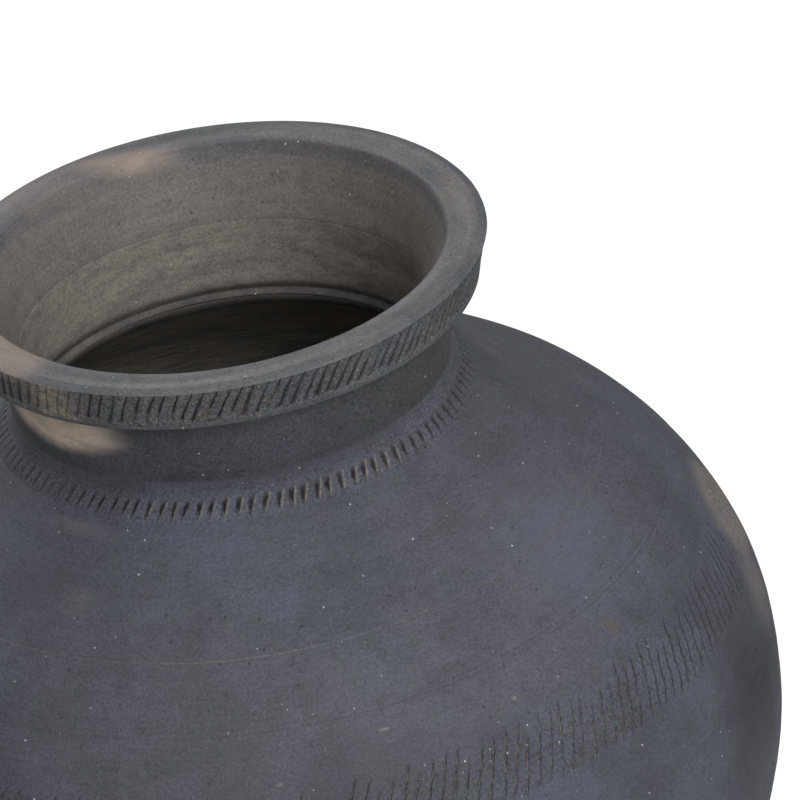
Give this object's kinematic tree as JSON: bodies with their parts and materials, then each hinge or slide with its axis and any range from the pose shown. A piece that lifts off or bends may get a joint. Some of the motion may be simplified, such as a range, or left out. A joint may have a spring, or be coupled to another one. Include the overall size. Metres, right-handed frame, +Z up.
{
  "type": "terracotta water jar",
  "caption": "Round-bellied smoked clay water jar with a short neck, a flared notched rim and a combed shoulder band.",
  "frame": {"origin": "centre of the flat resting face, on the floor", "axes": "+Z up through the mouth, along the axis the jar was thrown on; X and Y are level and any direction round the axis will do"},
  "size_m": [0.366, 0.366, 0.345],
  "materials": {
    "wall_clay": "matt, smoked black, unglazed",
    "band_clay": "matt, smoked black, cut with a knife and comb",
    "neck_clay": "matt, smoked, brownish grey",
    "base_clay": "matt, rough, scraped flat"
  },
  "bodies": {
    "root": {"base_disc": "base_clay", "foot_bowl": "wall_clay", "lower_bowl": "wall_clay", "belly_ring": "wall_clay", "comb_ring": "band_clay", "shoulder_ring": "wall_clay", "crown_ring": "wall_clay", "neck_collar": "neck_clay", "neck_fillet": "band_clay", "seam_coil": "neck_clay", "rim_ring": "wall_clay"}
  },
  "joints": []
}
